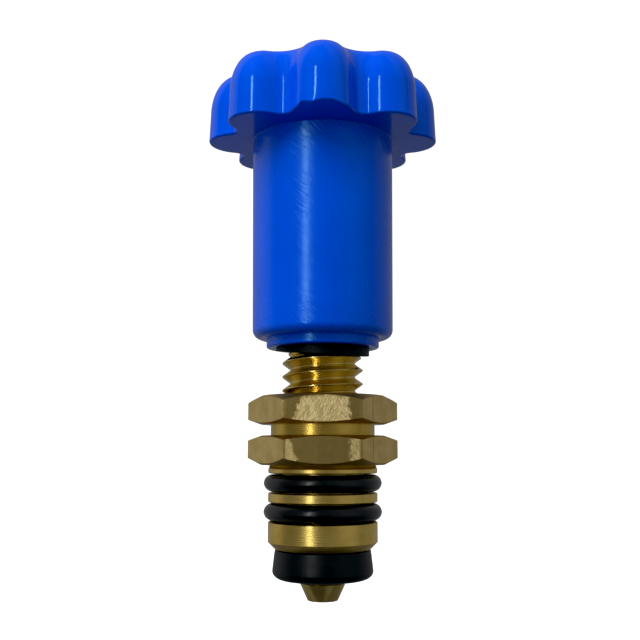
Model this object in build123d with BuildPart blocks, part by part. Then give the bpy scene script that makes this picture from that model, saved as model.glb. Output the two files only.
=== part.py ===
from build123d import *
import math
import os

os.makedirs("parts", exist_ok=True)

# Boiler filling valve cartridge, shown fully open, in millimetres.
# The origin lies on the spindle axis, in the plane of the hexagon's lower shoulder.
# +Z runs along the spindle to the knob, and a flat of the hexagon faces -Y.

# Clearances
running_clearance = 0.05  # radial, between the spindle and the bores that it turns in
seat_clearance = 0.02  # radial, between pieces that are pushed together
thread_clearance = 0.08  # radial, between the spindle's thread and the body's thread
face_clearance = 0.05  # axial, between the seal and the collars of the spindle
ring_clearance = 0.01  # radial, between an O-ring and its walls
edge_break = 0.12  # small chamfer on turned edges

# Screw motion
thread_pitch = 2.0
turns_to_close = 2.5
stroke = thread_pitch * turns_to_close

# Valve body: hexagon with the clip groove
hex_flats = 19.0
lower_flange_height = 4.2
clip_groove_width = 1.6
upper_flange_height = 4.15
clip_groove_radius = 7.6
hex_bevel_radius = 9.0  # the hexagon's bevels start at this radius
outer_bevel_height = 1.0
groove_bevel_height = 0.7
hex_corner_radius = hex_flats / math.sqrt(3)
clip_groove_bottom = lower_flange_height
clip_groove_top = clip_groove_bottom + clip_groove_width
body_top = clip_groove_top + upper_flange_height

# Valve body: spigot with two O-ring grooves
spigot_radius = 7.93
first_land = 1.2
second_land = 1.35
third_land = 2.85
spigot_bevel = 1.0
ring_section = 2.62
ring_groove_width = 2.75
ring_groove_root = 5.95
shoulder_neck = 0.25  # the first land is this much thinner at the shoulder
shoulder_relief_width = 0.75  # ring recess in the shoulder, so that it seats flat
shoulder_relief_depth = 0.2
first_groove_bottom = -first_land - ring_groove_width
second_groove_top = first_groove_bottom - second_land
second_groove_bottom = second_groove_top - ring_groove_width
spigot_end = second_groove_bottom - third_land - spigot_bevel

# Spindle
thread_radius = 5.95
thread_depth = 1.15
thread_top = 16.5
stem_radius = 4.5
drive_flats = 7.0
drive_shoulder = 18.2
drive_end_gap = 0.5  # between the top of the square and the knob's web
seal_neck_radius = 2.6
nose_collar_radius = 3.33
nose_tip_radius = 2.21
nose_length = 2.5

# Bore of the valve body
bore_radius = stem_radius + running_clearance
bore_thread_radius = thread_radius + thread_clearance
bore_thread_bottom = 0.6
bore_cone_height = 0.85
bore_mouth = 0.5
closed_gap = 0.4  # below the spindle's thread when the valve is closed
thread_bottom = bore_thread_bottom + closed_gap + stroke

# O-rings of the stem, squeezed between their grooves and the bore
stem_ring_section = 1.78
stem_groove_root = 3.1
stem_groove_width = 2.4
upper_stem_ring_level = -1.9
stem_ring_spacing = 3.4
stem_ring_levels = [upper_stem_ring_level, upper_stem_ring_level - stem_ring_spacing]

# Seat seal
open_gap = 0.09  # between the seal and the spigot when the valve is open
seal_height = 4.55
seal_top_radius = 6.93
seal_radius = 7.27
seal_widest_depth = 2.95
seal_corner_radius = 5.7
seal_corner_depth = 4.15
seal_top = spigot_end - open_gap
seal_bottom = seal_top - seal_height
nose_top = seal_bottom - face_clearance

# Knob: fluted head
lobe_count = 8
head_bottom = 48.5
head_height = 10.4
head_tip_radius = 17.35
head_valley_radius = 13.9
lobe_radius = 4.5
head_draft = 2.4  # degrees, the slope of the head's side
head_round_height = 5.9
head_round_reach = 3.65
lobe_narrowing = 0.72  # a lobe's radius shrinks at this rate as the top rounds over
hollow_fading = 0.34  # and the hollows get shallower at this one
head_lower_round = 0.3
head_top = head_bottom + head_height
head_side = head_height - head_round_height
head_side_inset = head_side * math.tan(math.radians(head_draft))

# Knob: sleeve and the lip at its foot
sleeve_bottom = 18.4
sleeve_bottom_radius = 10.4
sleeve_top_radius = 10.62
sleeve_round = 1.3
neck_round = 0.6
lip_bottom = 17.03
lip_radius = 8.33
lip_round = 0.25

# Inside of the knob: drive bush, web, chamber and cap
bush_recess = 0.6
bush_radius = 6.9
bush_height = 11.4
bush_key_count = 4
bush_key_width = 2.0
bush_key_height = 0.8
bush_key_length = 8.0
web_thickness = 2.5
chamber_radius = 7.0
cap_radius = 8.1
cap_thickness = 1.6
cap_crown = 0.2
cap_skirt_wall = 1.2
cap_skirt_length = 5.0
bush_bottom = lip_bottom + bush_recess
bush_top = bush_bottom + bush_height
drive_top = bush_top - drive_end_gap
web_top = bush_top + web_thickness
cap_bottom = head_top - cap_thickness

# Knob screw and its washer
screw_radius = 2.0
screw_length = 12.0
screw_head_radius = 3.8
screw_head_height = 2.6
screw_slot_width = 1.0
screw_slot_depth = 1.2
screw_hole_clearance = 0.25
tapped_hole_spare = 1.5
washer_radius = 5.0
washer_thickness = 1.0
washer_top = web_top + washer_thickness


def polar(radius, angle):
    """Point of the XY plane at a radius and an angle in degrees."""
    return (radius * math.cos(math.radians(angle)), radius * math.sin(math.radians(angle)))


def lobed_outline(tip, valley, lobe):
    """Outline of the fluted head: round lobes joined by tangent hollows, one lobe towards -Y."""
    half_step = 180 / lobe_count
    centre = Vector(tip - lobe, 0)
    span = centre.X * math.cos(math.radians(half_step))
    hollow = (valley**2 + centre.X**2 - 2 * valley * span - lobe**2) / (2 * (lobe - valley + span))
    hollow_centre = Vector(*polar(valley + hollow, half_step))
    tangent = centre + (hollow_centre - centre).normalized() * lobe
    mirrored = Vector(tangent.X, -tangent.Y)
    with BuildSketch() as outline:
        with BuildLine():
            for index in range(lobe_count):
                turn = 2 * half_step * index - 90
                end = tangent.rotate(Axis.Z, turn)
                ThreePointArc(mirrored.rotate(Axis.Z, turn), polar(tip, turn), end)
                next_start = mirrored.rotate(Axis.Z, turn + 2 * half_step)
                ThreePointArc(end, polar(valley, turn + half_step), next_start)
        make_face()
    return outline.sketch


def round_ring(level, inner_radius, section):
    """O-ring of round section at a level, resting on a groove's root."""
    with BuildPart() as ring:
        with Locations((0, 0, level)):
            Torus(inner_radius + section / 2, section / 2)
    return ring.part


def squeezed_ring(level, inner_radius, outer_radius, section):
    """O-ring squeezed between two walls: an oval section with the area of the round one."""
    half_width = (outer_radius - inner_radius) / 2
    half_height = (section / 2) ** 2 / half_width
    with BuildPart() as ring:
        with BuildSketch(Plane.XZ):
            with Locations(((inner_radius + outer_radius) / 2, level)):
                Ellipse(half_width, half_height)
        revolve(axis=Axis.Z)
    return ring.part


# Valve body, turned from hexagon bar
with BuildPart() as valve_body:
    with BuildSketch():
        RegularPolygon(hex_flats / 2, 6, major_radius=False)
    extrude(amount=body_top)
    with BuildSketch(Plane.XZ):
        with BuildLine():
            Polyline(
                (0, 0),
                (hex_bevel_radius, 0),
                (hex_corner_radius, outer_bevel_height),
                (hex_corner_radius, clip_groove_bottom - groove_bevel_height),
                (hex_bevel_radius, clip_groove_bottom),
                (clip_groove_radius, clip_groove_bottom),
                (clip_groove_radius, clip_groove_top),
                (hex_bevel_radius, clip_groove_top),
                (hex_corner_radius, clip_groove_top + groove_bevel_height),
                (hex_corner_radius, body_top - outer_bevel_height),
                (hex_bevel_radius, body_top),
                (0, body_top),
                close=True,
            )
        make_face()
    revolve(axis=Axis.Z, mode=Mode.INTERSECT)
    # ring recess in the shoulder
    relief_inner = spigot_radius - shoulder_neck
    with BuildSketch():
        Circle(spigot_radius + shoulder_relief_width)
        Circle(relief_inner, mode=Mode.SUBTRACT)
    extrude(amount=shoulder_relief_depth, mode=Mode.SUBTRACT)
    # spigot
    with BuildSketch(Plane.XZ):
        with BuildLine():
            Polyline(
                (0, shoulder_relief_depth),
                (relief_inner, shoulder_relief_depth),
                (relief_inner, 0),
                (spigot_radius, -first_land / 2),
                (spigot_radius, -first_land),
                (ring_groove_root, -first_land),
                (ring_groove_root, first_groove_bottom),
                (spigot_radius, first_groove_bottom),
                (spigot_radius, second_groove_top),
                (ring_groove_root, second_groove_top),
                (ring_groove_root, second_groove_bottom),
                (spigot_radius, second_groove_bottom),
                (spigot_radius, spigot_end + spigot_bevel),
                (spigot_radius - spigot_bevel, spigot_end),
                (0, spigot_end),
                close=True,
            )
        make_face()
    revolve(axis=Axis.Z)
    groove_mouths = [
        edge
        for edge in valve_body.edges().filter_by(GeomType.CIRCLE)
        if abs(edge.radius - spigot_radius) < edge_break / 4
        and abs(edge.center().Z + first_land / 2) > edge_break
        and edge.center().Z > spigot_end + spigot_bevel + edge_break
    ]
    chamfer(groove_mouths, edge_break)
    # threaded bore above, smooth bore below, joined by a lead-in cone
    with BuildSketch(Plane.XZ):
        with BuildLine():
            Polyline(
                (0, body_top),
                (bore_thread_radius + bore_mouth, body_top),
                (bore_thread_radius, body_top - bore_mouth),
                (bore_thread_radius, bore_thread_bottom),
                (bore_radius, bore_thread_bottom - bore_cone_height),
                (bore_radius, spigot_end + edge_break),
                (bore_radius + edge_break, spigot_end),
                (0, spigot_end),
                close=True,
            )
        make_face()
    revolve(axis=Axis.Z, mode=Mode.SUBTRACT)
valve_body.part.label = "valve_body"
export_step(valve_body.part, "parts/valve_body.step")

# O-rings that seal the spigot in the boiler's water block
upper_o_ring_level = -first_land - ring_groove_width / 2
lower_o_ring_level = second_groove_top - ring_groove_width / 2
with BuildPart() as upper_o_ring:
    add(round_ring(upper_o_ring_level, ring_groove_root + ring_clearance, ring_section))
upper_o_ring.part.label = "upper_o_ring"
export_step(upper_o_ring.part, "parts/upper_o_ring.step")

with BuildPart() as lower_o_ring:
    add(round_ring(lower_o_ring_level, ring_groove_root + ring_clearance, ring_section))
lower_o_ring.part.label = "lower_o_ring"
export_step(lower_o_ring.part, "parts/lower_o_ring.step")

# Spindle, turned in one piece from the nose to the square drive
with BuildPart() as spindle:
    thread_root = thread_radius - thread_depth
    with BuildSketch(Plane.XZ):
        with BuildLine():
            Polyline(
                (0, nose_top - nose_length),
                (nose_tip_radius, nose_top - nose_length),
                (nose_collar_radius, nose_top),
                (seal_neck_radius, nose_top),
                (seal_neck_radius, seal_top + face_clearance),
                (stem_radius, seal_top + face_clearance),
                (stem_radius, thread_bottom - bore_cone_height),
                (thread_radius, thread_bottom),
                (thread_radius, thread_top - thread_depth),
                (thread_root, thread_top),
                (stem_radius, thread_top),
                (stem_radius, drive_top),
                (0, drive_top),
                close=True,
            )
        make_face()
    revolve(axis=Axis.Z)
    # grooves for the two O-rings of the stem
    for level in stem_ring_levels:
        with BuildSketch(Plane.XY.offset(level - stem_groove_width / 2)):
            Circle(stem_radius + running_clearance)
            Circle(stem_groove_root, mode=Mode.SUBTRACT)
        extrude(amount=stem_groove_width, mode=Mode.SUBTRACT)
    # square drive with rounded corners
    with BuildSketch(Plane.XY.offset(drive_shoulder)):
        Circle(stem_radius + running_clearance)
        Rectangle(drive_flats, drive_flats, mode=Mode.SUBTRACT)
    extrude(amount=drive_top - drive_shoulder, mode=Mode.SUBTRACT)
    # tapped hole for the knob screw
    hole_depth = drive_top - (washer_top - screw_length) + tapped_hole_spare
    with Locations((0, 0, drive_top)):
        Hole(screw_radius + seat_clearance, depth=hole_depth)
spindle.part.label = "spindle"
export_step(spindle.part, "parts/spindle.step")

# O-rings of the stem, which keep the water out of the thread
for name, level in zip(("stem_o_ring_upper", "stem_o_ring_lower"), stem_ring_levels):
    with BuildPart() as stem_o_ring:
        inner = stem_groove_root + ring_clearance
        add(squeezed_ring(level, inner, bore_radius - ring_clearance, stem_ring_section))
    stem_o_ring.part.label = name
    export_step(stem_o_ring.part, "parts/" + name + ".step")

# Seat seal, the rubber ring that swivels on the spindle's neck and closes the seat
with BuildPart() as seat_seal:
    with BuildSketch(Plane.XZ):
        with BuildLine():
            hole = seal_neck_radius + running_clearance
            widest = (seal_radius, seal_top - seal_widest_depth)
            corner = (seal_corner_radius, seal_top - seal_corner_depth)
            lower = Line((hole, seal_bottom), (nose_collar_radius, seal_bottom))
            underside = Line(lower @ 1, corner)
            rounded = TangentArc(corner, widest, tangent=underside % 1)
            Polyline(rounded @ 1, (seal_top_radius, seal_top), (hole, seal_top), (hole, seal_bottom))
        make_face()
    revolve(axis=Axis.Z)
seat_seal.part.label = "seat_seal"
export_step(seat_seal.part, "parts/seat_seal.step")

# Knob: fluted head, sleeve and lip in one moulding
with BuildPart() as knob:
    with BuildSketch(Plane.XY.offset(head_bottom)):
        add(lobed_outline(head_tip_radius, head_valley_radius, lobe_radius))
    extrude(amount=head_side, taper=head_draft)
    fillet(knob.edges().group_by(Axis.Z)[0], head_lower_round)
    # the top rounds over along the lobes and hollows
    for angle in (0, 18, 36, 54, 72, 90):
        inset = head_round_reach * (1 - math.cos(math.radians(angle)))
        height = head_top - head_round_height * (1 - math.sin(math.radians(angle)))
        tip = head_tip_radius - head_side_inset - inset
        valley = head_valley_radius - head_side_inset - inset * (1 - hollow_fading)
        lobe = lobe_radius - head_side_inset - inset * lobe_narrowing
        with BuildSketch(Plane.XY.offset(height)):
            add(lobed_outline(tip, valley, lobe))
    loft()
    # sleeve and lip
    with BuildSketch(Plane.XZ) as sleeve_profile:
        with BuildLine():
            Polyline(
                (0, lip_bottom),
                (lip_radius, lip_bottom),
                (lip_radius, sleeve_bottom),
                (sleeve_bottom_radius, sleeve_bottom),
                (sleeve_top_radius, head_bottom),
                (sleeve_top_radius, head_bottom + head_side),
                (0, head_bottom + head_side),
                close=True,
            )
        make_face()
        lower_corner = sleeve_profile.vertices().sort_by_distance((sleeve_bottom_radius, sleeve_bottom))[0]
        fillet(lower_corner, sleeve_round)
        lip_corner = sleeve_profile.vertices().sort_by_distance((lip_radius, lip_bottom))[0]
        fillet(lip_corner, lip_round)
    revolve(axis=Axis.Z)
    neck = [
        edge
        for edge in knob.edges().filter_by(GeomType.CIRCLE)
        if abs(edge.center().Z - head_bottom) < neck_round / 4
    ]
    fillet(neck, neck_round)
    # socket of the drive bush, web with the screw hole, chamber and cap seat
    with BuildSketch(Plane.XZ):
        with BuildLine():
            Polyline(
                (0, lip_bottom),
                (bush_radius, lip_bottom),
                (bush_radius, bush_top),
                (screw_radius + screw_hole_clearance, bush_top),
                (screw_radius + screw_hole_clearance, web_top),
                (chamber_radius, web_top),
                (chamber_radius, cap_bottom),
                (cap_radius, cap_bottom),
                (cap_radius, head_top),
                (0, head_top),
                close=True,
            )
        make_face()
    revolve(axis=Axis.Z, mode=Mode.SUBTRACT)
    with BuildSketch(Plane.XY.offset(bush_top - bush_key_length)):
        with PolarLocations(bush_radius, bush_key_count):
            Rectangle(2 * (bush_key_height + seat_clearance), bush_key_width + 2 * seat_clearance)
    extrude(amount=bush_key_length, mode=Mode.SUBTRACT)
knob.part.label = "knob"
export_step(knob.part, "parts/knob.step")

# Drive bush, which carries the knob's torque to the square of the spindle
with BuildPart() as drive_bush:
    with BuildSketch(Plane.XY.offset(bush_bottom)):
        Circle(bush_radius - seat_clearance)
    extrude(amount=bush_height)
    with BuildSketch(Plane.XY.offset(bush_top - bush_key_length)):
        with PolarLocations(bush_radius, bush_key_count):
            Rectangle(2 * bush_key_height, bush_key_width)
    extrude(amount=bush_key_length)
    chamfer(drive_bush.edges().group_by(Axis.Z)[0], edge_break)
    with BuildSketch(Plane.XY.offset(bush_bottom)):
        Circle(stem_radius + seat_clearance)
    extrude(amount=drive_shoulder - bush_bottom, mode=Mode.SUBTRACT)
    with BuildSketch(Plane.XY.offset(drive_shoulder)):
        Circle(stem_radius + seat_clearance)
        drive_width = drive_flats + 2 * seat_clearance
        Rectangle(drive_width, drive_width, mode=Mode.INTERSECT)
    extrude(amount=bush_top - drive_shoulder, mode=Mode.SUBTRACT)
drive_bush.part.label = "drive_bush"
export_step(drive_bush.part, "parts/drive_bush.step")

# Washer under the knob screw
with BuildPart() as screw_washer:
    with BuildSketch(Plane.XY.offset(web_top)):
        Circle(washer_radius)
        Circle(screw_radius + screw_hole_clearance, mode=Mode.SUBTRACT)
    extrude(amount=washer_thickness)
    chamfer(screw_washer.edges().group_by(Axis.Z)[-1].sort_by(SortBy.RADIUS)[-1], edge_break)
screw_washer.part.label = "screw_washer"
export_step(screw_washer.part, "parts/screw_washer.step")

# Knob screw, slotted pan head
with BuildPart() as knob_screw:
    with BuildSketch(Plane.XY.offset(washer_top - screw_length)):
        Circle(screw_radius)
    extrude(amount=screw_length)
    chamfer(knob_screw.edges().group_by(Axis.Z)[0], screw_radius / 5)
    with BuildSketch(Plane.XY.offset(washer_top)):
        Circle(screw_head_radius)
    extrude(amount=screw_head_height)
    fillet(knob_screw.edges().group_by(Axis.Z)[-1], screw_head_height / 3)
    with BuildSketch(Plane.XY.offset(washer_top + screw_head_height)):
        Rectangle(2 * screw_head_radius, screw_slot_width)
    extrude(amount=-screw_slot_depth, mode=Mode.SUBTRACT)
knob_screw.part.label = "knob_screw"
export_step(knob_screw.part, "parts/knob_screw.step")

# Cap that closes the chamber, with a skirt that grips its wall
with BuildPart() as knob_cap:
    with BuildSketch(Plane.XZ):
        with BuildLine():
            rim = (cap_radius - seat_clearance, head_top - cap_crown)
            skirt_outer = chamber_radius - seat_clearance
            skirt_inner = skirt_outer - cap_skirt_wall
            crown_radius = (rim[0] ** 2 + cap_crown**2) / (2 * cap_crown)
            crown_middle = head_top - crown_radius + math.sqrt(crown_radius**2 - rim[0] ** 2 / 4)
            crown = ThreePointArc(rim, (rim[0] / 2, crown_middle), (0, head_top))
            Polyline(
                crown @ 1,
                (0, cap_bottom),
                (skirt_inner, cap_bottom),
                (skirt_inner, cap_bottom - cap_skirt_length),
                (skirt_outer, cap_bottom - cap_skirt_length),
                (skirt_outer, cap_bottom),
                (rim[0], cap_bottom),
                rim,
            )
        make_face()
    revolve(axis=Axis.Z)
knob_cap.part.label = "knob_cap"
export_step(knob_cap.part, "parts/knob_cap.step")
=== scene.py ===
import math
import bmesh
import bpy
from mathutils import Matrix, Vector


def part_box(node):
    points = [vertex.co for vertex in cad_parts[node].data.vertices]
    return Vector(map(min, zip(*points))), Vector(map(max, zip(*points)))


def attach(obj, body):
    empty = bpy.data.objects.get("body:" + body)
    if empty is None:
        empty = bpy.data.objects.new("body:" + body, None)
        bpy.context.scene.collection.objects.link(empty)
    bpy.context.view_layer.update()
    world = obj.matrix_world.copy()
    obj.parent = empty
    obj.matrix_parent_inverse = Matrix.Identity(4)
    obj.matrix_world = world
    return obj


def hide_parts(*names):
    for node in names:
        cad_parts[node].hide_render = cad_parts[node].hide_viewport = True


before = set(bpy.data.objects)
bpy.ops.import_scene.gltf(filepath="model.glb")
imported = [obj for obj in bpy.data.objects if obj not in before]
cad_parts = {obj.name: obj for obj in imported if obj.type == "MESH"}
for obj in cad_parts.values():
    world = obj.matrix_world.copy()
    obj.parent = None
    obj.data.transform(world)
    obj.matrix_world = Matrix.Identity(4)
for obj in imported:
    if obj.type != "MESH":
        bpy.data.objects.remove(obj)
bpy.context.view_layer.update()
print("frame loaded,", len(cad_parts), "nodes")

mm = 0.001
roundSteps = 360  # columns round the axis, a multiple of the hexagon's 6 and the knob's 8
turnAngles = [2 * math.pi * step / roundSteps for step in range(roundSteps)]
frontAngle = -math.pi / 2  # the camera's side


# small helpers

def toLinear(hexColour):
    channels = [int(hexColour[i:i + 2], 16) / 255 for i in (1, 3, 5)]
    return tuple(c / 12.92 if c <= 0.04045 else ((c + 0.055) / 1.055) ** 2.4 for c in channels) + (1.0,)


def addNode(tree, kind, settings=None, links=None):
    # a key with a capital, or a number, is a socket of the node, any other key is one of its settings
    node = tree.nodes.new(kind)
    settings = settings or {}
    for key in [k for k in settings if isinstance(k, str) and k[0].islower()]:
        setattr(node, key, settings[key])
    for key in [k for k in settings if isinstance(k, int) or k[0].isupper()]:
        node.inputs[key].default_value = settings[key]
    for key, source in (links or {}).items():
        tree.links.new(source, node.inputs[key])
    return node


def closedRing(radiusAt, levelAt):
    # one ring of points round the axis, in millimetres
    return [(radiusAt(a) * math.cos(a), radiusAt(a) * math.sin(a), levelAt(a)) for a in turnAngles]


def plainRing(radius, level):
    return closedRing(lambda a: radius, lambda a: level)


def arcPoints(centre, radius, start, end, count):
    # points of a rounding in the radius and level plane, angles in degrees
    points = []
    for i in range(count + 1):
        a = math.radians(start + (end - start) * i / count)
        points.append((centre[0] + radius * math.cos(a), centre[1] + radius * math.sin(a)))
    return points


def joinRings(bm, rings, closed):
    # faces between rings that follow each other, returned row by row
    rows = [[bm.verts.new(Vector(p) * mm) for p in ring] for ring in rings]
    pairs = list(zip(rows, rows[1:])) + ([(rows[-1], rows[0])] if closed else [])
    faceRows = []
    for low, high in pairs:
        faces = []
        for i in range(len(low)):
            j = (i + 1) % len(low)
            faces.append(bm.faces.new((low[i], low[j], high[j], high[i])))
        faceRows.append(faces)
    return faceRows


def makePiece(name, bm, slots, sharpAngle=30):
    # merges what coincides, turns the faces outwards and keeps hard edges sharp
    bmesh.ops.remove_doubles(bm, verts=bm.verts, dist=0.0005 * mm)
    bmesh.ops.dissolve_degenerate(bm, dist=0.0005 * mm, edges=bm.edges)
    bmesh.ops.recalc_face_normals(bm, faces=bm.faces)
    for face in bm.faces:
        face.smooth = True
    for edge in bm.edges:
        if len(edge.link_faces) == 2 and edge.calc_face_angle(0) > math.radians(sharpAngle):
            edge.smooth = False
    mesh = bpy.data.meshes.new(name)
    bm.to_mesh(mesh)
    bm.free()
    piece = bpy.data.objects.new(name, mesh)
    bpy.context.scene.collection.objects.link(piece)
    for material in slots:
        mesh.materials.append(material)
    return piece


def softenEdges(piece, width, angle=30, segments=2):
    bevel = piece.modifiers.new("edge rounding", "BEVEL")
    bevel.width = width * mm
    bevel.segments = segments
    bevel.limit_method = "ANGLE"
    bevel.angle_limit = math.radians(angle)
    bevel.harden_normals = True
    bevel.use_clamp_overlap = True


def nodeSize(name):
    # lowest and highest corner of a CAD node, in millimetres
    low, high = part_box(name)
    return low / mm, high / mm


# materials

def newMaterial(name):
    material = bpy.data.materials.new(name)
    material.use_nodes = True
    tree = material.node_tree
    tree.nodes.clear()
    shader = addNode(tree, "ShaderNodeBsdfPrincipled")
    addNode(tree, "ShaderNodeOutputMaterial", links={"Surface": shader.outputs["BSDF"]})
    place = addNode(tree, "ShaderNodeTexCoord")
    inMm = addNode(tree, "ShaderNodeVectorMath", {"operation": "SCALE", "Scale": 1 / mm},
                   {0: place.outputs["Object"]})
    return material, tree, shader, inMm.outputs[0]


def speckle(tree, coords, perMm, detail=2.0, roughness=0.5, stretch=(1, 1, 1), turn=(0, 0, 0)):
    # noise in millimetres: stretch above 1 packs it closer along that direction, turn in degrees
    turned = addNode(tree, "ShaderNodeVectorRotate", {"rotation_type": "EULER_XYZ",
                     "Rotation": [math.radians(t) for t in turn]}, {"Vector": coords})
    packed = addNode(tree, "ShaderNodeVectorMath", {"operation": "MULTIPLY", 1: stretch},
                     {0: turned.outputs[0]})
    field = addNode(tree, "ShaderNodeTexNoise",
                    {"Scale": perMm, "Detail": detail, "Roughness": roughness}, {"Vector": packed.outputs[0]})
    return field.outputs["Fac"]


def spread(tree, value, low, high, newLow=0.0, newHigh=1.0):
    ranged = addNode(tree, "ShaderNodeMapRange", {"From Min": low, "From Max": high,
                     "To Min": newLow, "To Max": newHigh}, {"Value": value})
    return ranged.outputs[0]


def combine(tree, operation, first, second):
    # either one may be a plain number
    node = addNode(tree, "ShaderNodeMath", {"operation": operation})
    for index, value in enumerate((first, second)):
        if isinstance(value, (int, float)):
            node.inputs[index].default_value = value
        else:
            tree.links.new(value, node.inputs[index])
    return node.outputs[0]


def blendColours(tree, factor, first, second):
    # colours are hex values or sockets
    mix = addNode(tree, "ShaderNodeMix", {"data_type": "RGBA"}, {0: factor})
    for index, colour in ((6, first), (7, second)):
        if isinstance(colour, str):
            mix.inputs[index].default_value = toLinear(colour)
        else:
            tree.links.new(colour, mix.inputs[index])
    return mix.outputs[2]


def relief(tree, shader, layers):
    # layers of (height, depth in millimetres), each one raised on the last
    normal = None
    for height, depth in layers:
        bump = addNode(tree, "ShaderNodeBump", {"Strength": 1.0, "Distance": depth * mm}, {"Height": height})
        if normal:
            tree.links.new(normal, bump.inputs["Normal"])
        normal = bump.outputs[0]
    tree.links.new(normal, shader.inputs["Normal"])


def lineIn(tree, value, line, softness):
    # 1 where the value lies beyond a line, with a soft edge in millimetres
    return spread(tree, combine(tree, "SUBTRACT", value, line), 0, softness)


def mouldedPolypropylene():
    # blue polypropylene, injection moulded and glossy: a pure, even blue that drinks the light, crisp
    # streaks on the head, and a sleeve rubbed duller by handling, with hair scratches across it
    look = {"deep": "#004FE8", "bright": "#0056F4", "sheen": "#8FDDFF", "specular": 1.0, "ior": 1.49,
            "headRoughness": 0.09, "sleeveRoughness": 0.22, "sleeveRadius": 11.2, "flowPerMm": 0.09,
            "ripplePerMm": 0.22, "rippleDepth": 0.006, "scratchPerMm": 3.4, "scratchStretch": (1, 0.25, 0.07),
            "scratchTurn": (0, 48, 0), "scratchDepth": 0.014, "scratchRoughness": 0.08,
            "rubbedPerMm": 0.16, "scratchedTop": 42.5, "scratchedFoot": 24.0,
            "dentPlace": (5.9, -14.1, 53.4), "dentRadius": 0.75, "dentDepth": 0.05}
    material, tree, shader, coords = newMaterial("mouldedPolypropylene")
    apart = addNode(tree, "ShaderNodeSeparateXYZ", links={0: coords})
    flow = speckle(tree, coords, look["flowPerMm"], 3)
    tree.links.new(blendColours(tree, spread(tree, flow, 0.35, 0.65), look["deep"], look["bright"]),
                   shader.inputs["Base Color"])
    radius = combine(tree, "SQRT", combine(tree, "ADD", combine(tree, "POWER", apart.outputs["X"], 2),
                                           combine(tree, "POWER", apart.outputs["Y"], 2)), 0)
    onSleeve = spread(tree, radius, look["sleeveRadius"] - 0.2, look["sleeveRadius"], 1, 0)
    # hair scratches about 0.05 mm wide, drawn at 0.3 mm so that they show, deepest where the head and
    # the foot were gripped
    hair = speckle(tree, coords, look["scratchPerMm"], 1, 0.4, look["scratchStretch"], look["scratchTurn"])
    hairs = spread(tree, hair, 0.5, 0.62)
    top, foot = look["scratchedTop"], look["scratchedFoot"]
    gripped = combine(tree, "MAXIMUM", spread(tree, apart.outputs["Z"], top, top + 3, 0.55, 1),
                      spread(tree, apart.outputs["Z"], foot, foot - 3, 0.55, 1))
    patches = spread(tree, speckle(tree, coords, look["rubbedPerMm"], 2), 0.35, 0.55, 0.4, 1)
    worn = combine(tree, "MULTIPLY", gripped, patches)
    scratches = combine(tree, "MULTIPLY", combine(tree, "MULTIPLY", hairs, worn), onSleeve)
    ripple = speckle(tree, coords, look["ripplePerMm"], 2)
    rough = combine(tree, "ADD", spread(tree, onSleeve, 0, 1, look["headRoughness"], look["sleeveRoughness"]),
                    combine(tree, "MULTIPLY", scratches, look["scratchRoughness"]))
    tree.links.new(rough, shader.inputs["Roughness"])
    shader.inputs["IOR"].default_value = look["ior"]
    shader.inputs["Specular IOR Level"].default_value = look["specular"]
    shader.inputs["Specular Tint"].default_value = toLinear(look["sheen"])
    # a small sink mark in the hollow to the right of the front lobe
    toDent = addNode(tree, "ShaderNodeVectorMath", {"operation": "DISTANCE", 1: look["dentPlace"]},
                     {0: coords})
    dent = spread(tree, toDent.outputs["Value"], look["dentRadius"] * 0.3, look["dentRadius"])
    relief(tree, shader, [(ripple, look["rippleDepth"]), (scratches, look["scratchDepth"]),
                          (dent, look["dentDepth"])])
    return material


def turnedBrass(name="turnedBrass", light="#E3C672", dark="#D2B45E", roughness=0.26):
    # free-cutting brass, turned on a lathe and left raw: warm and shiny, with fine rings from the
    # tool that draw each reflection out along the axis, and small brown tarnish spots
    look = {"ringsPerMm": 7.0, "ringDepth": 0.0016, "grainPerMm": 5, "grainDepth": 0.0006,
            "cloudPerMm": 0.35, "tarnish": "#6E5526", "spotsPerMm": 2.2, "clustersPerMm": 0.28,
            "anisotropy": 0.35}
    material, tree, shader, coords = newMaterial(name)
    apart = addNode(tree, "ShaderNodeSeparateXYZ", links={0: coords})
    # tool rings are about 0.05 mm apart, drawn three times as coarse so that they show
    rings = addNode(tree, "ShaderNodeTexNoise", {"noise_dimensions": "1D", "Scale": look["ringsPerMm"],
                    "Detail": 2.0}, {"W": apart.outputs["Z"]}).outputs["Fac"]
    cloud = speckle(tree, coords, look["cloudPerMm"], 3)
    metal = blendColours(tree, spread(tree, cloud, 0.35, 0.65), dark, light)
    # the spots come in clusters
    spots = spread(tree, speckle(tree, coords, look["spotsPerMm"], 3, 0.7), 0.62, 0.74)
    clusters = spread(tree, speckle(tree, coords, look["clustersPerMm"], 2), 0.48, 0.66)
    stain = combine(tree, "MULTIPLY", spots, combine(tree, "MULTIPLY", clusters, 0.75))
    tree.links.new(blendColours(tree, stain, metal, look["tarnish"]), shader.inputs["Base Color"])
    shader.inputs["Metallic"].default_value = 1.0
    rough = combine(tree, "ADD", spread(tree, rings, 0.3, 0.7, roughness - 0.05, roughness + 0.07),
                    combine(tree, "MULTIPLY", stain, 0.25))
    tree.links.new(rough, shader.inputs["Roughness"])
    shader.inputs["Anisotropic"].default_value = look["anisotropy"]
    ringWay = addNode(tree, "ShaderNodeTangent", {"direction_type": "RADIAL", "axis": "Z"})
    tree.links.new(ringWay.outputs[0], shader.inputs["Tangent"])
    grain = speckle(tree, coords, look["grainPerMm"], 3)
    relief(tree, shader, [(rings, look["ringDepth"]), (grain, look["grainDepth"])])
    return material


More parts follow.
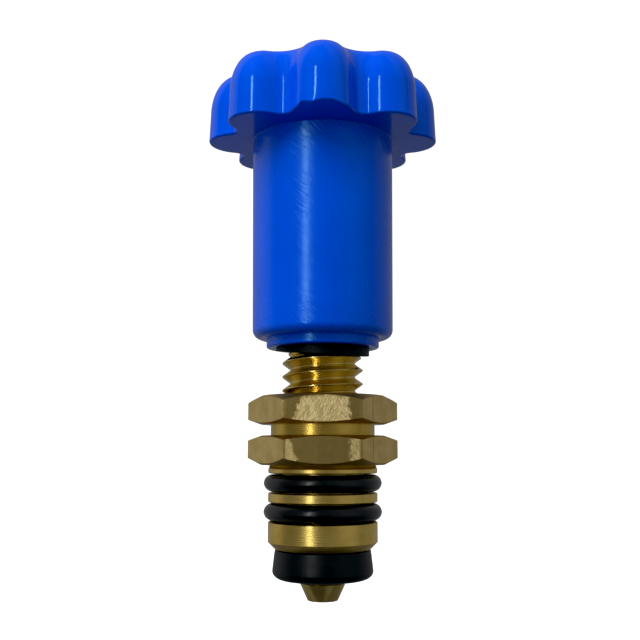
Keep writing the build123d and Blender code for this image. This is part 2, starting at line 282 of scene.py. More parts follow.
def drawnBarFlat():
    # the flats of drawn hexagon bar: greyer than the turned faces, with a sandy grain from the die.
    # The front one was filed: a scratched patch above the groove and scratched ends below it, painted pale,
    # partly the fresh filed metal and partly a painted highlight
    look = {"light": "#DEC27C", "dark": "#CDB06A", "frontDark": "#BEA463", "filedAndPaintedHighlight": "#FDE6A6",
            "line": "#5E4A22", "roughness": 0.3, "filedRoughness": 0.5, "filedMetallic": 0.38,
            "grainPerMm": 5.0, "grainDepth": 0.0035, "cloudPerMm": 0.5, "strokesPerMm": 7.5,
            "strokeDepth": 0.02, "strokeSlope": 27, "crossSlope": 62, "turningPoint": 1.9,
            "frontLevel": -9.3, "edgeMargin": 5.2, "patchLeft": -4.4, "patchRight": 3.95,
            "patchTop": 9.7, "patchFoot": 6.2, "leftLean": 1.5, "rightLean": 0.3,
            "lowerTop": 4.2, "dullLeft": -4.5, "dullRight": 3.5, "dullLean": 1.3,
            "drawnLine": 7.0, "drawnLineWidth": 0.12}
    material, tree, shader, coords = newMaterial("drawnBarFlat")
    apart = addNode(tree, "ShaderNodeSeparateXYZ", links={0: coords})
    across, depth, level = (apart.outputs[axis] for axis in ("X", "Y", "Z"))
    grain = speckle(tree, coords, look["grainPerMm"], 4, 0.65)
    cloud = speckle(tree, coords, look["cloudPerMm"], 3)
    metal = blendColours(tree, spread(tree, cloud, 0.35, 0.65), look["dark"], look["light"])
    # file strokes, 0.1 mm wide: rising steeply to the right over most of the flat, falling on its
    # right side
    def stroke(slope, share):
        field = speckle(tree, coords, look["strokesPerMm"], 2, 0.6, (1, 1, 0.15), (0, slope, 0))
        return spread(tree, field, share, share + 0.1)

    side = combine(tree, "ADD", across, spread(tree, speckle(tree, coords, 0.8, 2), 0.3, 0.7, -0.8, 0.8))
    rightSide = spread(tree, side, look["turningPoint"], look["turningPoint"] + 0.5)
    falling = combine(tree, "MULTIPLY", stroke(look["strokeSlope"], 0.46), rightSide)
    rising = combine(tree, "MULTIPLY", stroke(-look["strokeSlope"], 0.46),
                     combine(tree, "SUBTRACT", 1, rightSide))
    crossing = combine(tree, "MULTIPLY", stroke(-look["crossSlope"], 0.58), 0.7)
    strokes = combine(tree, "MAXIMUM", combine(tree, "ADD", falling, rising), crossing)
    # the patch narrows upwards and has ragged edges
    wander = spread(tree, speckle(tree, coords, 1.6, 3, 0.65), 0.25, 0.75, -0.45, 0.45)
    place = combine(tree, "ADD", across, wander)
    rise = spread(tree, level, look["patchFoot"], look["patchTop"])
    leftEdge = spread(tree, rise, 0, 1, look["patchLeft"], look["patchLeft"] + look["leftLean"])
    rightEdge = spread(tree, rise, 0, 1, look["patchRight"], look["patchRight"] - look["rightLean"])
    onUpper = combine(tree, "MULTIPLY", lineIn(tree, place, leftEdge, 0.5),
                      lineIn(tree, rightEdge, place, 0.4))
    aboveFoot = spread(tree, level, look["patchFoot"] - 0.4, look["patchFoot"])
    belowTop = spread(tree, combine(tree, "ADD", level, wander), look["patchTop"], look["patchTop"] - 0.5)
    onUpper = combine(tree, "MULTIPLY", onUpper, combine(tree, "MULTIPLY", aboveFoot, belowTop))
    # below the groove only the ends were touched, and the middle was not
    dullEdge = spread(tree, level, look["lowerTop"], 0.3, look["dullLeft"], look["dullLeft"] + look["dullLean"])
    leftEnd = lineIn(tree, dullEdge, place, 0.4)
    rightEnd = lineIn(tree, place, look["dullRight"], 0.6)
    onLower = combine(tree, "MULTIPLY", combine(tree, "MAXIMUM", leftEnd, rightEnd),
                      spread(tree, level, look["lowerTop"] + 0.2, look["lowerTop"], 0, 0.7))
    offMiddle = combine(tree, "ABSOLUTE", across, 0)
    front = combine(tree, "MULTIPLY", spread(tree, depth, look["frontLevel"], look["frontLevel"] - 0.1),
                    spread(tree, offMiddle, look["edgeMargin"], look["edgeMargin"] - 0.3))
    filedAndPaintedHighlight = combine(tree, "MULTIPLY", combine(tree, "MAXIMUM", onUpper, onLower), front)
    paintedHighlightStrokes = combine(tree, "MULTIPLY", filedAndPaintedHighlight, spread(tree, strokes, 0, 1, 0.42, 1.0))
    # the front flat is darker than the others, in patches
    patches = spread(tree, speckle(tree, coords, 0.9, 4, 0.6), 0.35, 0.65, 1, 0.5)
    frontDarkened = combine(tree, "MULTIPLY", front, patches)
    # the filed marks take a pale colour: partly fresh metal, partly a painted highlight
    coloured = blendColours(tree, paintedHighlightStrokes, blendColours(tree, frontDarkened, metal, look["frontDark"]), look["filedAndPaintedHighlight"])
    # one dark line that the die drew along the bar, on the flat right of the front one
    toLine = combine(tree, "ABSOLUTE", combine(tree, "SUBTRACT", across, look["drawnLine"]), 0)
    line = combine(tree, "MULTIPLY", spread(tree, toLine, look["drawnLineWidth"], 0, 0, 0.55),
                   spread(tree, depth, -4, -5))
    tree.links.new(blendColours(tree, line, coloured, look["line"]), shader.inputs["Base Color"])
    # the torn metal of the file marks scatters light almost like a matt surface
    tree.links.new(spread(tree, paintedHighlightStrokes, 0, 1, 1, look["filedMetallic"]), shader.inputs["Metallic"])
    tree.links.new(spread(tree, filedAndPaintedHighlight, 0, 1, look["roughness"], look["filedRoughness"]),
                   shader.inputs["Roughness"])
    marks = combine(tree, "MULTIPLY", strokes, filedAndPaintedHighlight)
    relief(tree, shader, [(grain, look["grainDepth"]), (marks, look["strokeDepth"])])
    return material


def nitrileRubber(name, roughness, specular):
    # black nitrile rubber, compression moulded: satin black with a soft grey sheen, and shinier where
    # it is wet with grease, as O-rings are
    look = {"black": "#060606", "bloom": "#0C0C0D", "ior": 1.52}
    material, tree, shader, coords = newMaterial(name)
    bloom = spread(tree, speckle(tree, coords, 0.8, 4, 0.6), 0.5, 0.75)
    tree.links.new(blendColours(tree, bloom, look["black"], look["bloom"]), shader.inputs["Base Color"])
    tree.links.new(spread(tree, bloom, 0, 1, roughness, roughness + 0.08), shader.inputs["Roughness"])
    shader.inputs["IOR"].default_value = look["ior"]
    shader.inputs["Specular IOR Level"].default_value = specular
    relief(tree, shader, [(speckle(tree, coords, 4, 3), 0.002), (speckle(tree, coords, 0.7, 2), 0.004)])
    return material


def blackNylon():
    # glass-filled nylon, moulded: matt black with a fine fibre grain
    look = {"black": "#060606", "fibre": "#0E0E0F", "roughness": 0.55, "specular": 0.3, "ior": 1.53}
    material, tree, shader, coords = newMaterial("blackNylon")
    fibre = spread(tree, speckle(tree, coords, 3, 2, 0.5, (1, 1, 0.2), (20, 30, 0)), 0.55, 0.7)
    tree.links.new(blendColours(tree, fibre, look["black"], look["fibre"]), shader.inputs["Base Color"])
    tree.links.new(spread(tree, fibre, 0, 1, look["roughness"], look["roughness"] - 0.1),
                   shader.inputs["Roughness"])
    shader.inputs["IOR"].default_value = look["ior"]
    shader.inputs["Specular IOR Level"].default_value = look["specular"]
    relief(tree, shader, [(speckle(tree, coords, 7, 3), 0.002)])
    return material


def zincedSteel():
    # mild steel, zinc plated and passivated: pale blue-grey with a fine crystal grain
    look = {"light": "#C9CCD0", "dark": "#A4A8AE", "roughness": 0.33}
    material, tree, shader, coords = newMaterial("zincedSteel")
    crystal = speckle(tree, coords, 2.2, 4, 0.6)
    tree.links.new(blendColours(tree, spread(tree, crystal, 0.35, 0.65), look["dark"], look["light"]),
                   shader.inputs["Base Color"])
    shader.inputs["Metallic"].default_value = 1.0
    tree.links.new(spread(tree, crystal, 0.3, 0.7, look["roughness"] - 0.06, look["roughness"] + 0.08),
                   shader.inputs["Roughness"])
    relief(tree, shader, [(speckle(tree, coords, 8, 2), 0.001)])
    return material


bluePlastic = mouldedPolypropylene()
brass = turnedBrass()
threadBrass = turnedBrass("cutThreadBrass", "#E4CC7C", "#D2B668", 0.17)
# the clip groove's brass is a darker, deeper copy of the turned brass: painted shade of the recess between the
# hexagon halves, with a roughness of its own
grooveBrassPaintedShade = turnedBrass("partedBrassPaintedShade", "#D6B65A", "#C6A54C", 0.24)
bevelBrass = turnedBrass("chamferBrass", "#DCBE74", "#CCAD62", 0.45)
barFlat = drawnBarFlat()
ringRubber = nitrileRubber("greasedRubber", 0.24, 0.5)
sealRubber = nitrileRubber("dryRubber", 0.38, 0.34)
nylon = blackNylon()
steel = zincedSteel()
print("materials made:", len(bpy.data.materials))


# knob: fluted head, sleeve and lip in one moulding

knobLow, knobHigh = nodeSize("knob")
knob = {
    "lobeCount": 8, "tipRadius": -knobLow.y, "hollowDepth": 3.45, "lobeRadius": 4.5,
    "topLevel": knobHigh.z, "headHeight": 10.4, "sideInset": 0.1886, "roundHeight": 5.9, "roundReach": 3.65,
    "lobeNarrowing": 0.72, "hollowFading": 0.34, "lowerRound": 0.3,
    "sleeveTopRadius": 10.62, "neckRound": 0.12,
    "sleeveFootRadius": 10.4, "sleeveFootLevel": 18.4, "footRound": 1.3,
    "lipRadius": 8.33, "lipLevel": knobLow.z, "lipRound": 0.25,
    "socketRadius": 6.9, "socketTop": 29.03, "webTop": 31.53, "screwHoleRadius": 2.25,
    "chamberRadius": 7.0, "capSeatRadius": 8.1, "capSeatDepth": 1.6,
}
# the trimmed gate under the front lobe: how far the torn rim stands back, by the place across, in mm
gateMark = [(-3.7, 0), (-3.1, 0.48), (-2.3, 0.32), (-1.6, 0.06), (-0.8, 0.24), (0.1, 0.38), (0.9, 0.36),
            (1.7, 0.33), (2.5, 0.12), (3.3, 0)]
gateLip = 0.07  # depth of the step above the torn rim


def lobedRadius(angle, tip, valley, lobe):
    # round lobes joined by tangent hollows, one lobe towards the front
    half = math.pi / knob["lobeCount"]
    centre = tip - lobe
    span = centre * math.cos(half)
    hollow = (valley ** 2 + centre ** 2 - 2 * valley * span - lobe ** 2) / (2 * (lobe - valley + span))
    hollowCentre = valley + hollow
    across, along = hollowCentre * math.sin(half), hollowCentre * math.cos(half) - centre
    reach = math.hypot(across, along)
    tangentAngle = math.atan2(across / reach * lobe, centre + along / reach * lobe)
    away = abs((angle - frontAngle + half) % (2 * half) - half)
    if away < tangentAngle:
        return centre * math.cos(away) + math.sqrt(lobe ** 2 - (centre * math.sin(away)) ** 2)
    away = half - away
    bow = max(hollow ** 2 - (hollowCentre * math.sin(away)) ** 2, 0)
    return hollowCentre * math.cos(away) - math.sqrt(bow)


def tornRim(angle):
    # height of the gate mark at an angle
    across = knob["tipRadius"] * math.cos(angle)
    if math.sin(angle) > 0 or abs(across) > 4:
        return 0.0
    for (left, low), (right, high) in zip(gateMark, gateMark[1:]):
        if left <= across < right:
            return low + (high - low) * (across - left) / (right - left)
    return 0.0


def lobedRing(draft, inset, level, shareOfRound=0.0, roundRadius=0.0, torn=0.0, lip=0.0):
    # draft shrinks the lobes evenly, inset is what the rounding of the top takes off
    tip = knob["tipRadius"] - draft - inset
    valley = knob["tipRadius"] - knob["hollowDepth"] - draft - inset * (1 - knob["hollowFading"])
    lobe = knob["lobeRadius"] - draft - inset * knob["lobeNarrowing"]

    def radiusAt(angle):
        lobed = lobedRadius(angle, tip, valley, lobe)
        return lobed + (roundRadius - lobed) * shareOfRound - lip * min(tornRim(angle) * 4, 1)
    return closedRing(radiusAt, lambda angle: level + torn * tornRim(angle))


def buildKnob():
    k = knob
    headBottom = k["topLevel"] - k["headHeight"]
    # lip and foot of the sleeve
    rings = []
    for point in [(k["socketRadius"], k["lipLevel"] + 0.12), (k["socketRadius"] + 0.12, k["lipLevel"])]:
        rings.append(plainRing(*point))
    lipCorner = (k["lipRadius"] - k["lipRound"], k["lipLevel"] + k["lipRound"])
    for point in arcPoints(lipCorner, k["lipRound"], -90, 0, 4):
        rings.append(plainRing(*point))
    rings.append(plainRing(k["lipRadius"], k["sleeveFootLevel"]))
    foot = (k["sleeveFootRadius"] - k["footRound"], k["sleeveFootLevel"] + k["footRound"])
    for point in arcPoints(foot, k["footRound"], -90, 0, 10):
        rings.append(plainRing(*point))
    # the sleeve, which widens a little upwards
    neckLevel = headBottom - k["neckRound"]
    for i in range(1, 9):
        share = i / 8
        rings.append(plainRing(k["sleeveFootRadius"] + (k["sleeveTopRadius"] - k["sleeveFootRadius"]) * share,
                               foot[1] + (neckLevel - foot[1]) * share))
    neckEdge = k["sleeveTopRadius"] + k["neckRound"]
    for point in arcPoints((neckEdge, neckLevel), k["neckRound"], 180, 90, 5)[1:]:
        rings.append(plainRing(*point))
    # underside of the head, and its lower rim with the torn gate
    for share, torn in ((0.7, 0), (0.4, 0), (0.18, 0.15), (0.06, 0.6)):
        rings.append(lobedRing(k["lowerRound"], 0, headBottom, share, neckEdge, torn))
    for i in range(6):
        a = math.pi / 2 * i / 5
        rings.append(lobedRing(k["lowerRound"] * (1 - math.sin(a)), 0,
                               headBottom + k["lowerRound"] * (1 - math.cos(a)), torn=1.0))
    # side of the lobes and their rounding, then the top
    sideHeight = k["headHeight"] - k["roundHeight"]
    sideRows = [(k["lowerRound"] + 0.08, 0.95, 1), (k["lowerRound"] + 0.3, 0.85, 0.8), (1.2, 0, 0),
                (2.2, 0, 0), (3.3, 0, 0), (sideHeight, 0, 0)]
    for height, torn, lip in sideRows:
        rings.append(lobedRing(k["sideInset"] * height / sideHeight, 0, headBottom + height, torn=torn,
                               lip=lip * gateLip))
    for i in range(1, 21):
        a = math.pi / 2 * i / 20
        inset = k["roundReach"] * (1 - math.cos(a))
        rings.append(lobedRing(k["sideInset"], inset, k["topLevel"] - k["roundHeight"] * (1 - math.sin(a))))
    for share in (0.3, 0.65, 0.9):
        rings.append(lobedRing(k["sideInset"], k["roundReach"], k["topLevel"], share,
                               k["capSeatRadius"] + 0.1))
    # cap seat, chamber, screw hole and socket
    seatLevel = k["topLevel"] - k["capSeatDepth"]
    for point in [(k["capSeatRadius"] + 0.1, k["topLevel"]), (k["capSeatRadius"], k["topLevel"] - 0.1),
                  (k["capSeatRadius"], seatLevel), (k["chamberRadius"], seatLevel),
                  (k["chamberRadius"], k["webTop"]), (k["screwHoleRadius"], k["webTop"]),
                  (k["screwHoleRadius"], k["socketTop"]), (k["socketRadius"], k["socketTop"])]:
        rings.append(plainRing(*point))
    bm = bmesh.new()
    joinRings(bm, rings, closed=True)
    piece = makePiece("flutedKnob", bm, [bluePlastic])
    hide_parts("knob")
    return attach(piece, "handle")


buildKnob()
print("knob built")


# spindle: nose, stem, right-hand thread and square drive

spindleLow, spindleHigh = nodeSize("spindle")
spindle = {
    "noseTip": spindleLow.z, "noseTipRadius": 2.21, "noseTop": -16.59, "noseCollarRadius": 3.33,
    "sealNeckRadius": 2.6, "stemFoot": -11.94, "stemRadius": 4.5,
    "ringGrooveRoot": 3.1, "ringGrooveWidth": 2.4, "ringGrooveLevels": (-5.3, -1.9),
    "threadRadius": spindleHigh.x, "threadDepth": 1.15, "pitch": 2.0,
    "threadBottom": 6.0, "threadBottomCone": 0.85, "threadTop": 16.5,
    "crestLevel": 10.75,  # of one crest on the -X side
    "squareFoot": 18.2, "squareFlats": 7.0, "top": spindleHigh.z,
    "tappedRadius": 2.02, "tappedDepth": 9.5,
}
# the thread's form over one pitch: share of the pitch from a crest's middle, share of the depth
threadForm = [(0.0, 0.0), (0.03, 0.0), (0.05, 0.03), (0.12, 0.19), (0.2, 0.38), (0.28, 0.58), (0.36, 0.78),
              (0.43, 0.95), (0.46, 0.99), (0.5, 1.0)]
threadForm += [(1 - share, depth) for share, depth in reversed(threadForm[1:-1])]


def threadRows(bm):
    # a grid sheared along the helix, so that crests and roots run along its rows
    s = spindle
    formRows = len(threadForm)
    bottom = s["threadBottom"] - s["threadBottomCone"]
    turns = math.ceil((s["threadTop"] - bottom) / s["pitch"]) + 3
    firstCrest = s["crestLevel"] - s["pitch"] * math.ceil((s["crestLevel"] - bottom) / s["pitch"] + 2)

    def pointAt(column, row):
        angle = turnAngles[column]
        share, depth = threadForm[row % formRows]
        lead = (angle - math.pi) / (2 * math.pi)
        level = firstCrest + s["pitch"] * (row // formRows + share + lead)
        radius = s["threadRadius"] - s["threadDepth"] * depth
        rise = (level - bottom) / s["threadBottomCone"]
        radius = min(radius, s["stemRadius"] + (s["threadRadius"] - s["stemRadius"]) * max(rise, 0),
                     s["threadRadius"] - s["threadDepth"] + max(s["threadTop"] - level, 0))
        level = min(max(level, bottom), s["threadTop"])
        return Vector((radius * math.cos(angle), radius * math.sin(angle), level)) * mm

    rowCount = (turns + 1) * formRows
    grid = [[bm.verts.new(pointAt(column, row)) for row in range(rowCount)] for column in range(roundSteps)]
    for column in range(roundSteps):
        nextColumn = (column + 1) % roundSteps
        shift = formRows if nextColumn == 0 else 0
        for row in range(rowCount - 1 - formRows):
            corners = (grid[column][row], grid[nextColumn][row + shift],
                       grid[nextColumn][row + shift + 1], grid[column][row + 1])
            bm.faces.new(corners)


def buildSpindle():
    s = spindle
    bm = bmesh.new()
    low = [(0, s["noseTip"]), (s["noseTipRadius"] - 0.06, s["noseTip"]),
           (s["noseTipRadius"], s["noseTip"] + 0.05),
           (s["noseCollarRadius"] - 0.03, s["noseTop"] - 0.09), (s["noseCollarRadius"] - 0.06, s["noseTop"]),
           (s["sealNeckRadius"], s["noseTop"]), (s["sealNeckRadius"], s["stemFoot"]),
           (s["stemRadius"], s["stemFoot"])]
    for level in s["ringGrooveLevels"]:
        for radius, side in ((s["stemRadius"], -1), (s["ringGrooveRoot"], -1), (s["ringGrooveRoot"], 1),
                             (s["stemRadius"], 1)):
            low.append((radius, level + side * s["ringGrooveWidth"] / 2))
    low.append((s["stemRadius"], s["threadBottom"] - s["threadBottomCone"]))
    joinRings(bm, [plainRing(*p) for p in low], closed=False)
    threadRows(bm)
    half = s["squareFlats"] / 2

    def squareAt(angle):
        away = (angle + math.pi / 4) % (math.pi / 2) - math.pi / 4
        return min(s["stemRadius"], half / math.cos(away))

    rootRadius = s["threadRadius"] - s["threadDepth"]
    high = [plainRing(rootRadius, s["threadTop"]), plainRing(s["stemRadius"], s["threadTop"]),
            plainRing(s["stemRadius"], s["squareFoot"]),
            closedRing(squareAt, lambda a: s["squareFoot"]), closedRing(squareAt, lambda a: s["top"]),
            plainRing(s["tappedRadius"], s["top"]), plainRing(s["tappedRadius"], s["top"] - s["tappedDepth"]),
            plainRing(0, s["top"] - s["tappedDepth"])]
    joinRings(bm, high, closed=False)
    piece = makePiece("threadedSpindle", bm, [threadBrass], 35)
    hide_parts("spindle")
    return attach(piece, "handle")


buildSpindle()
print("spindle built")


# valve body: hexagon with the clip groove, and the spigot

bodyLow, bodyHigh = nodeSize("valve_body")
body = {
    "top": bodyHigh.z, "cornerRadius": bodyHigh.x, "halfFlats": bodyHigh.y, "bevelRadius": 9.0,
    "outerBevel": 1.0, "grooveBevel": 0.7, "grooveBottom": 4.2, "grooveTop": 5.8, "grooveRadius": 7.6,
    "reliefRadius": 8.68, "neckRadius": 7.68, "reliefDepth": 0.2,
    "spigotRadius": 7.93, "ringRoot": 5.95, "landEdges": ((-0.6, -1.2), (-3.95, -5.3), (-8.05, -10.9)),
    "edgeBreak": 0.12, "endBevel": 1.0, "end": bodyLow.z,
    "boreRadius": 4.55, "boreConeFoot": -0.25, "boreThreadFoot": 0.6, "boreThreadRadius": 6.03,
    "boreMouth": 0.5,
}


def buildBody():
    b = body
    span = b["cornerRadius"] - b["bevelRadius"]

    def hexAt(angle):
        return b["halfFlats"] / math.cos(angle % (math.pi / 3) - math.pi / 6)

    def hexRing(level, drop):
        # where the bevel's cone meets the flat, so each flat gets its curved ends
        return closedRing(hexAt, lambda a: level + drop * (hexAt(a) - b["bevelRadius"]) / span)

    rings = [plainRing(b["boreThreadRadius"] + b["boreMouth"], b["top"]),
             plainRing(b["bevelRadius"], b["top"]), hexRing(b["top"], -b["outerBevel"]),
             hexRing(b["grooveTop"], b["grooveBevel"]),
             plainRing(b["bevelRadius"], b["grooveTop"]), plainRing(b["grooveRadius"], b["grooveTop"]),
             plainRing(b["grooveRadius"], b["grooveBottom"]), plainRing(b["bevelRadius"], b["grooveBottom"]),
             hexRing(b["grooveBottom"], -b["grooveBevel"]), hexRing(0, b["outerBevel"]),
             plainRing(b["bevelRadius"], 0), plainRing(b["reliefRadius"], 0),
             plainRing(b["reliefRadius"], b["reliefDepth"]), plainRing(b["neckRadius"], b["reliefDepth"]),
             plainRing(b["neckRadius"], 0)]
    # the flats, the walls and root of the clip groove, and the bevels; the groove takes the darker brass that
    # paints its shade
    materialOfRow = {2: 1, 8: 1, 4: 2, 5: 2, 6: 2, 1: 3, 3: 3, 7: 3, 9: 3}
    chamfer = b["edgeBreak"]
    for index, (high, low) in enumerate(b["landEdges"]):
        if index == 0:
            rings.append(plainRing(b["spigotRadius"], high))
        else:
            rings += [plainRing(b["ringRoot"], high), plainRing(b["spigotRadius"] - chamfer, high),
                      plainRing(b["spigotRadius"], high - chamfer)]
        if index < 2:
            rings += [plainRing(b["spigotRadius"], low + chamfer),
                      plainRing(b["spigotRadius"] - chamfer, low), plainRing(b["ringRoot"], low)]
        else:
            rings.append(plainRing(b["spigotRadius"], low))
    rings += [plainRing(b["spigotRadius"] - b["endBevel"], b["end"]),
              plainRing(b["boreRadius"] + chamfer, b["end"]),
              plainRing(b["boreRadius"], b["end"] + chamfer), plainRing(b["boreRadius"], b["boreConeFoot"]),
              plainRing(b["boreThreadRadius"], b["boreThreadFoot"]),
              plainRing(b["boreThreadRadius"], b["top"] - b["boreMouth"])]
    bm = bmesh.new()
    faceRows = joinRings(bm, rings, closed=True)
    for row, index in materialOfRow.items():
        for face in faceRows[row]:
            face.material_index = index
    piece = makePiece("hexagonBody", bm, [brass, barFlat, grooveBrassPaintedShade, bevelBrass], 20)
    softenEdges(piece, 0.05, 20)
    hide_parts("valve_body")
    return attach(piece, "cartridge")


buildBody()
print("valve body built")


# rubber rings and seal

oRing = {"section": 2.62, "seatedHeight": 2.44, "flashWidth": 0.16, "flashHeight": 0.03, "steps": 48}
seal = {"holeRadius": 2.65, "noseRadius": 3.33, "cornerRadius": 5.7, "cornerLevel": -16.14,
        "widestLevel": -14.94, "topRadius": 6.93, "edgeRound": 0.18}


def buildRing(nodeName, name):
    # a moulded O-ring, with the faint line that its mould leaves round the outside
    low, high = nodeSize(nodeName)
    centreRadius, level, radius = high.x - oRing["section"] / 2, (low.z + high.z) / 2, oRing["section"] / 2
    rings = []
    for step in range(oRing["steps"]):
        a = 2 * math.pi * step / oRing["steps"]
        rise = oRing["seatedHeight"] / 2 * math.sin(a)
        flash = oRing["flashHeight"] * max(0, 1 - (rise / oRing["flashWidth"]) ** 2) if math.cos(a) > 0 else 0
        reach = radius - oRing["flashHeight"] + flash
        rings.append(plainRing(centreRadius + reach * math.cos(a), level + rise))
    bm = bmesh.new()
    joinRings(bm, rings, closed=True)
    piece = makePiece(name, bm, [ringRubber], 60)
    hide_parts(nodeName)
    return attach(piece, "cartridge")


def buildSeal():
    low, high = nodeSize("seat_seal")
    widest = (high.x, seal["widestLevel"])
    corner = (seal["cornerRadius"], seal["cornerLevel"])
    edge = seal["edgeRound"]
    profile = [(seal["holeRadius"], low.z), (seal["noseRadius"], low.z), corner]
    # the rounded corner leaves the underside and ends upright at the widest level
    for i in range(1, 13):
        a = math.pi / 2 * i / 12
        profile.append((corner[0] + (widest[0] - corner[0]) * math.sin(a),
                        widest[1] - (widest[1] - corner[1]) * math.cos(a)))
    for share in (0.75, 0.5, 0.25):
        profile.append((seal["topRadius"] + (widest[0] - seal["topRadius"]) * share,
                        high.z + (widest[1] - high.z) * share))
    profile += arcPoints((seal["topRadius"] - edge, high.z - edge), edge, 0, 90, 4)
    profile.append((seal["holeRadius"], high.z))
    bm = bmesh.new()
    joinRings(bm, [plainRing(*p) for p in profile], closed=True)
    piece = makePiece("seatSeal", bm, [sealRubber], 35)
    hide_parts("seat_seal")
    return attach(piece, "seal")


# foot of the drive bush: a black rim below the lip, trimmed at a slant that is lowest at the front right
bushFoot = {"radius": 6.88, "rimRadius": 6.05, "boreRadius": 4.56, "top": nodeSize("drive_bush")[0].z,
            "seatLevel": 16.62, "middleLevel": 16.22, "slantAcross": 0.057, "slantDeep": 0.104,
            "edgeBreak": 0.12}


def buildBushFoot():
    f = bushFoot

    def slantRing(radius, lift=0.0, floorLevel=0.0):
        def levelAt(angle):
            slant = f["slantAcross"] * math.cos(angle) - f["slantDeep"] * math.sin(angle)
            return max(f["middleLevel"] - slant * f["radius"] + lift, floorLevel)
        return closedRing(lambda angle: radius, levelAt)

    rings = [plainRing(f["radius"], f["top"]), slantRing(f["radius"], f["edgeBreak"]),
             slantRing(f["radius"] - f["edgeBreak"]), slantRing(f["rimRadius"]),
             slantRing(f["rimRadius"], 0.02, f["seatLevel"]),
             slantRing(f["boreRadius"], 0.02, f["seatLevel"]),
             plainRing(f["boreRadius"], f["top"])]
    bm = bmesh.new()
    joinRings(bm, rings, closed=True)
    piece = makePiece("bushFoot", bm, [nylon], 30)
    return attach(piece, "handle")


buildRing("upper_o_ring", "upperRing")
buildRing("lower_o_ring", "lowerRing")
buildSeal()
buildBushFoot()
cadMaterials = {"drive_bush": nylon, "screw_washer": steel, "knob_screw": steel, "knob_cap": bluePlastic,
                "stem_o_ring_upper": ringRubber, "stem_o_ring_lower": ringRubber}
for nodeName, material in cadMaterials.items():
    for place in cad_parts[nodeName].material_slots:
        place.material = material
print("rings, seal, bush foot and hidden pieces done")


# studio: pale floor that sweeps up all round, soft lights

closingTravel = 5.0  # the nose comes down this far when the valve is closed, so the floor lies lower
studio = {"floorLevel": spindleLow.z - closingTravel, "floorRadius": 520, "sweep": 220, "wallTop": 900,
          "white": "#F4F4F4", "glow": 0.9,
          "sideShade": 0.38, "shadeStart": -0.2, "shadeEnd": -0.6,
          "blackLevel": (0.008, 0.0065, 0.0055)}
# how bright the room is, by the angle round the part: degrees from the camera's side, positive to the right
roomLight = [(-180, 0.25), (-135, 0.3), (-118, 0.42), (-96, 0.38), (-88, 0.185), (-76, 0.16), (-56, 0.19),
             (-15, 0.155), (0, 0.155), (20, 0.22), (48, 0.36), (60, 0.33), (78, 0.28), (88, 0.17), (95, 0.26),
             (133, 0.28), (180, 0.25)]


def buildFloor():
    s = studio
    rings = [plainRing(0.001, s["floorLevel"]), plainRing(120, s["floorLevel"]),
             plainRing(s["floorRadius"], s["floorLevel"])]
    for point in arcPoints((s["floorRadius"], s["floorLevel"] + s["sweep"]), s["sweep"], -90, 0, 16)[1:]:
        rings.append(plainRing(*point))
    rings.append(plainRing(s["floorRadius"] + s["sweep"], s["wallTop"]))
    bm = bmesh.new()
    joinRings(bm, rings, closed=False)
    material, tree, shader, coords = newMaterial("paperSweep")
    # matt white photographic paper, lit from behind so that it fades out
    fibre = speckle(tree, coords, 0.02, 3)
    tree.links.new(blendColours(tree, fibre, s["white"], "#FFFFFF"), shader.inputs["Base Color"])
    shader.inputs["Roughness"].default_value = 0.9
    shader.inputs["Emission Color"].default_value = (1, 1, 1, 1)
    shader.inputs["Emission Strength"].default_value = s["glow"]
    floor = makePiece("paperFloor", bm, [material], 60)
    for ray in ("visible_diffuse", "visible_glossy", "visible_transmission", "visible_shadow"):
        setattr(floor, ray, False)


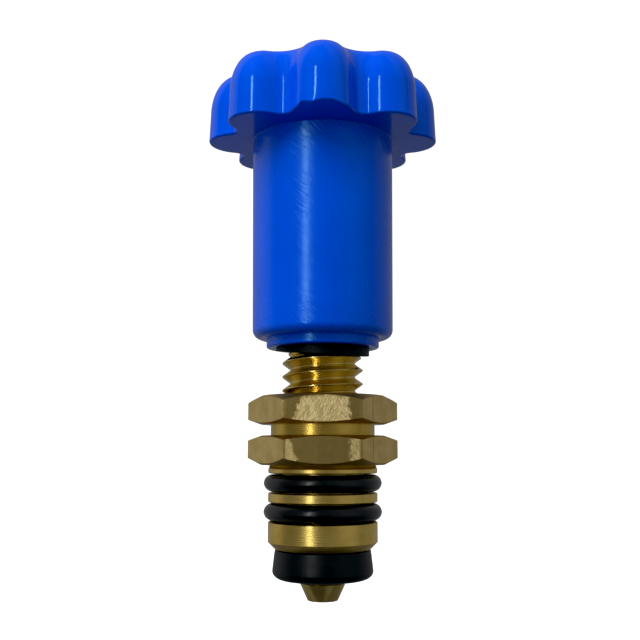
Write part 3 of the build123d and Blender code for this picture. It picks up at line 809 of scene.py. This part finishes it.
def buildRoom():
    # pale walls at the sides, the photographer's side darker, and everything below in shade
    world = bpy.data.worlds.new("studioRoom")
    world.use_nodes = True
    bpy.context.scene.world = world
    tree = world.node_tree
    way = addNode(tree, "ShaderNodeTexCoord")
    apart = addNode(tree, "ShaderNodeSeparateXYZ", links={0: way.outputs["Generated"]})
    turn = combine(tree, "ARCTAN2", apart.outputs["X"], combine(tree, "MULTIPLY", apart.outputs["Y"], -1))
    walls = addNode(tree, "ShaderNodeValToRGB", links={"Fac": spread(tree, turn, -math.pi, math.pi)})
    stops = walls.color_ramp.elements
    while len(stops) < len(roomLight):
        stops.new(0.5)
    for stop, (degrees, light) in zip(stops, roomLight):
        stop.position = (degrees + 180) / 360
        stop.color = (light, light, light, 1)
    shade = spread(tree, apart.outputs["Z"], studio["shadeEnd"], studio["shadeStart"], studio["sideShade"], 1)
    tree.links.new(walls.outputs["Color"], tree.nodes["Background"].inputs["Color"])
    tree.links.new(shade, tree.nodes["Background"].inputs["Strength"])


def addLight(name, azimuth, elevation, distance, width, height, watts, mirrored=True):
    # azimuth in degrees from the camera's side, positive to the right, aimed at the part's middle.
    # A light that isn't mirrored only brightens, as a large soft ceiling does
    aim = Vector((0, 0, 0.02))
    a, e = math.radians(azimuth), math.radians(elevation)
    way = Vector((math.sin(a) * math.cos(e), -math.cos(a) * math.cos(e), math.sin(e)))
    light = bpy.data.lights.new(name, "AREA")
    light.shape = "RECTANGLE"
    light.size, light.size_y = width * mm, height * mm
    light.energy = watts
    lamp = bpy.data.objects.new(name, light)
    lamp.location = aim + way * distance * mm
    lamp.rotation_euler = way.to_track_quat("Z", "Y").to_euler()
    lamp.visible_camera = False
    lamp.visible_glossy = mirrored
    bpy.context.scene.collection.objects.link(lamp)


def buildStudio():
    view = bpy.context.scene.view_settings
    view.view_transform = "Standard"
    # deep blacks, as the camera gave them
    view.use_curve_mapping = True
    view.curve_mapping.black_level = studio["blackLevel"]
    view.curve_mapping.update()
    buildFloor()
    buildRoom()
    addLight("keyStrip", azimuth=-27, elevation=10, distance=450, width=44, height=420, watts=0.36)
    addLight("skylight", azimuth=-35, elevation=50, distance=250, width=200, height=200, watts=0.51,
             mirrored=False)


def buildCamera():
    # solved from the photo: it looks up a little from the level of the lower hexagon
    view = {"distance": 135.0, "side": -0.4, "level": 2.15, "pitch": 8.08, "focalPixels": 915.0,
            "imagePixels": 640}
    camera = bpy.data.cameras.new("camera")
    camera.sensor_width = 36
    camera.lens = view["focalPixels"] / view["imagePixels"] * camera.sensor_width
    camera.clip_start = 0.005
    camera.clip_end = 10
    eye = bpy.data.objects.new("camera", camera)
    eye.location = Vector((view["side"], -view["distance"], view["level"])) * mm
    eye.rotation_euler = (math.radians(90 + view["pitch"]), 0, 0)
    bpy.context.scene.collection.objects.link(eye)
    bpy.context.scene.camera = eye


buildStudio()
buildCamera()
print("studio and camera set")
